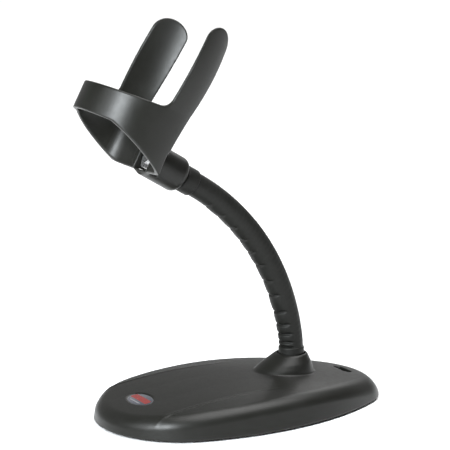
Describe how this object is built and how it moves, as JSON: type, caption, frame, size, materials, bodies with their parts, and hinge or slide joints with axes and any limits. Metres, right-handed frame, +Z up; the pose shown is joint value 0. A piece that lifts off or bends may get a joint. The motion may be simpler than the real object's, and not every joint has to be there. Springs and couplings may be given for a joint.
{
  "type": "scanner stand",
  "caption": "Flexible-neck stand for a handheld scanner: weighted oval base, bending rubber neck and a round cup with two upright prongs.",
  "frame": {"origin": "on the table, under the middle of the base", "axes": "+Z up; -Y towards the front end of the base with the badge, the way the cup leans; +X to the stand's left as seen from the front"},
  "size_m": [0.1256, 0.2235, 0.2658],
  "materials": {
    "satin_plastic": "charcoal ABS with a fine moulded grain and a satin sheen",
    "neck_rubber": "dark satin rubber, wrinkled on the inside of the bend",
    "pad_rubber": "matt non-slip rubber",
    "plated_steel": "zinc-plated steel",
    "ballast_iron": "raw iron plate",
    "badge_print": "glossy printed disc, a plain red band on grey"
  },
  "bodies": {
    "base": {"base_cover": "satin_plastic", "ballast_plate": "ballast_iron", "bottom_plate": "plated_steel", "rubber_pad": "pad_rubber", "cover_screws": "plated_steel", "badge": "badge_print", "foot_fitting": "plated_steel", "foot_washer": "plated_steel", "foot_nut": "plated_steel", "lower_cuff": "neck_rubber"},
    "link_1": {"neck_core_1": "plated_steel", "neck_sleeve_1": "neck_rubber"},
    "link_2": {"neck_core_2": "plated_steel", "neck_sleeve_2": "neck_rubber"},
    "link_3": {"neck_core_3": "plated_steel", "neck_sleeve_3": "neck_rubber"},
    "link_4": {"neck_core_4": "plated_steel", "neck_sleeve_4": "neck_rubber"},
    "link_5": {"neck_core_5": "plated_steel", "neck_sleeve_5": "neck_rubber"},
    "link_6": {"neck_core_6": "plated_steel", "neck_sleeve_6": "neck_rubber"},
    "link_7": {"neck_core_7": "plated_steel", "neck_sleeve_7": "neck_rubber"},
    "link_8": {"neck_core_8": "plated_steel", "neck_sleeve_8": "neck_rubber"},
    "link_9": {"neck_core_9": "plated_steel", "neck_sleeve_9": "neck_rubber"},
    "link_10": {"neck_core_10": "plated_steel", "neck_sleeve_10": "neck_rubber"},
    "head": {"upper_cuff": "neck_rubber", "head_fitting": "plated_steel", "cup": "satin_plastic", "cup_washer": "plated_steel", "cup_nut": "plated_steel"}
  },
  "joints": [
    {"name": "neck_bend", "type": "hinge", "parent": "base", "child": "link_1", "pos_m": [0, 0.04, 0.041], "axis": [1, 0, 0], "range_deg": [-11, 6]},
    {"name": "neck_sway", "type": "hinge", "parent": "link_1", "child": "link_2", "pos_m": [0, 0.03777, 0.05534], "axis": [0, 0.9799, 0.1994], "range_deg": [-8, 8]},
    {"name": "bend_2", "type": "hinge", "parent": "link_2", "child": "link_3", "pos_m": [0, 0.03422, 0.06942], "axis": [1, 0, 0], "range_deg": [-11, 6]},
    {"name": "sway_2", "type": "hinge", "parent": "link_3", "child": "link_4", "pos_m": [0, 0.02938, 0.08311], "axis": [0, 0.9265, 0.3762], "range_deg": [-8, 8]},
    {"name": "bend_3", "type": "hinge", "parent": "link_4", "child": "link_5", "pos_m": [0, 0.0233, 0.0963], "axis": [1, 0, 0], "range_deg": [-11, 6]},
    {"name": "sway_3", "type": "hinge", "parent": "link_5", "child": "link_6", "pos_m": [0, 0.01604, 0.10886], "axis": [0, 0.8415, 0.5402], "range_deg": [-8, 8]},
    {"name": "bend_4", "type": "hinge", "parent": "link_6", "child": "link_7", "pos_m": [0, 0.00764, 0.1207], "axis": [1, 0, 0], "range_deg": [-11, 6]},
    {"name": "sway_4", "type": "hinge", "parent": "link_7", "child": "link_8", "pos_m": [0, -0.00182, 0.13172], "axis": [0, 0.7278, 0.6858], "range_deg": [-8, 8]},
    {"name": "bend_5", "type": "hinge", "parent": "link_8", "child": "link_9", "pos_m": [0, -0.01226, 0.14181], "axis": [1, 0, 0], "range_deg": [-11, 6]},
    {"name": "sway_5", "type": "hinge", "parent": "link_9", "child": "link_10", "pos_m": [0, -0.02358, 0.1509], "axis": [0, 0.5892, 0.808], "range_deg": [-8, 8]},
    {"name": "bend_6", "type": "hinge", "parent": "link_10", "child": "head", "pos_m": [0, -0.03569, 0.1589], "axis": [1, 0, 0], "range_deg": [-11, 6]}
  ],
  "couplings": [
    {"joint": "bend_2", "follows": "neck_bend", "ratio": 1},
    {"joint": "sway_2", "follows": "neck_sway", "ratio": 1},
    {"joint": "bend_3", "follows": "neck_bend", "ratio": 1},
    {"joint": "sway_3", "follows": "neck_sway", "ratio": 1},
    {"joint": "bend_4", "follows": "neck_bend", "ratio": 1},
    {"joint": "sway_4", "follows": "neck_sway", "ratio": 1},
    {"joint": "bend_5", "follows": "neck_bend", "ratio": 1},
    {"joint": "sway_5", "follows": "neck_sway", "ratio": 1},
    {"joint": "bend_6", "follows": "neck_bend", "ratio": 1}
  ]
}
